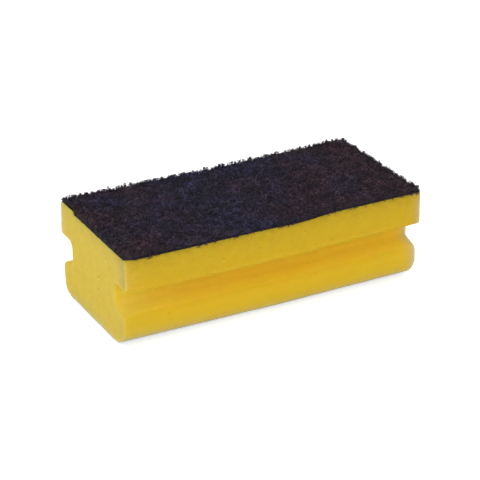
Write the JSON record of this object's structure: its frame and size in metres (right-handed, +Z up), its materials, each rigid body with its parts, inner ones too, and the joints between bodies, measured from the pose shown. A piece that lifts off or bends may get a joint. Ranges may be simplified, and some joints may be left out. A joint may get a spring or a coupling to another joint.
{
  "type": "cleaning sponge",
  "caption": "Soft foam cleaning sponge block with a finger groove along each long side and a dark fibre scouring pad bonded to its top face.",
  "frame": {"origin": "middle of the footprint, on the surface that the sponge rests on", "axes": "+X along the length, +Y from the front side (the one with the rounder heel) to the back side, +Z up, from the foam face to the scouring pad"},
  "size_m": [0.15, 0.07, 0.0467],
  "materials": {
    "foam": "matte open-cell polyurethane foam, warm yellow",
    "pad": "matted coarse nonwoven fibre, purple black, dull"
  },
  "bodies": {
    "root": {"foam_body": "foam", "scouring_pad": "pad"}
  },
  "joints": []
}
